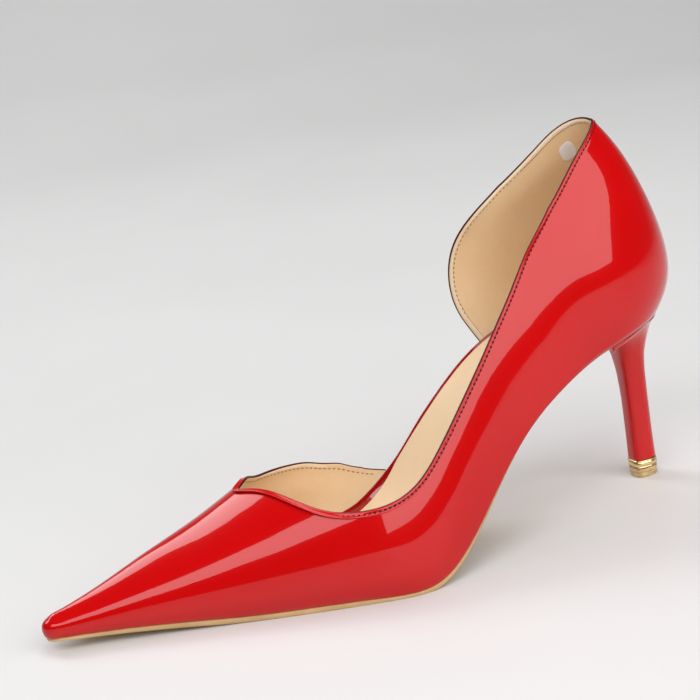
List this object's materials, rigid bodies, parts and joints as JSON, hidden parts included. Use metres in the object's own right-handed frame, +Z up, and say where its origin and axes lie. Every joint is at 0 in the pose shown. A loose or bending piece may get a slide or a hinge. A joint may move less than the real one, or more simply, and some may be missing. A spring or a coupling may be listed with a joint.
{
  "type": "high-heeled pump",
  "caption": "Woman's red patent pointed-toe stiletto pump, left shoe, closed on the outer side and cut away at the inner arch, with a red-rimmed insole.",
  "frame": {"origin": "middle of the shoe's bounding box, on the floor under it", "axes": "+Z up, -Y toward the toe tip, +Y toward the back of the heel, +X toward the outer (closed) side of this left shoe"},
  "size_m": [0.079, 0.2456, 0.1338],
  "materials": {
    "patent": "patent, high gloss, lined with beige leather",
    "insole": "beige sock on a rim covered in red patent",
    "sole": "smooth tan leather",
    "heel_cover": "patent, high gloss",
    "ferrule": "polished gold",
    "lift": "amber, glossy"
  },
  "bodies": {
    "root": {"upper": "patent", "insole": "insole", "outsole": "sole", "heel": "heel_cover", "heel_ferrule": "ferrule", "heel_lift": "lift"}
  },
  "joints": []
}
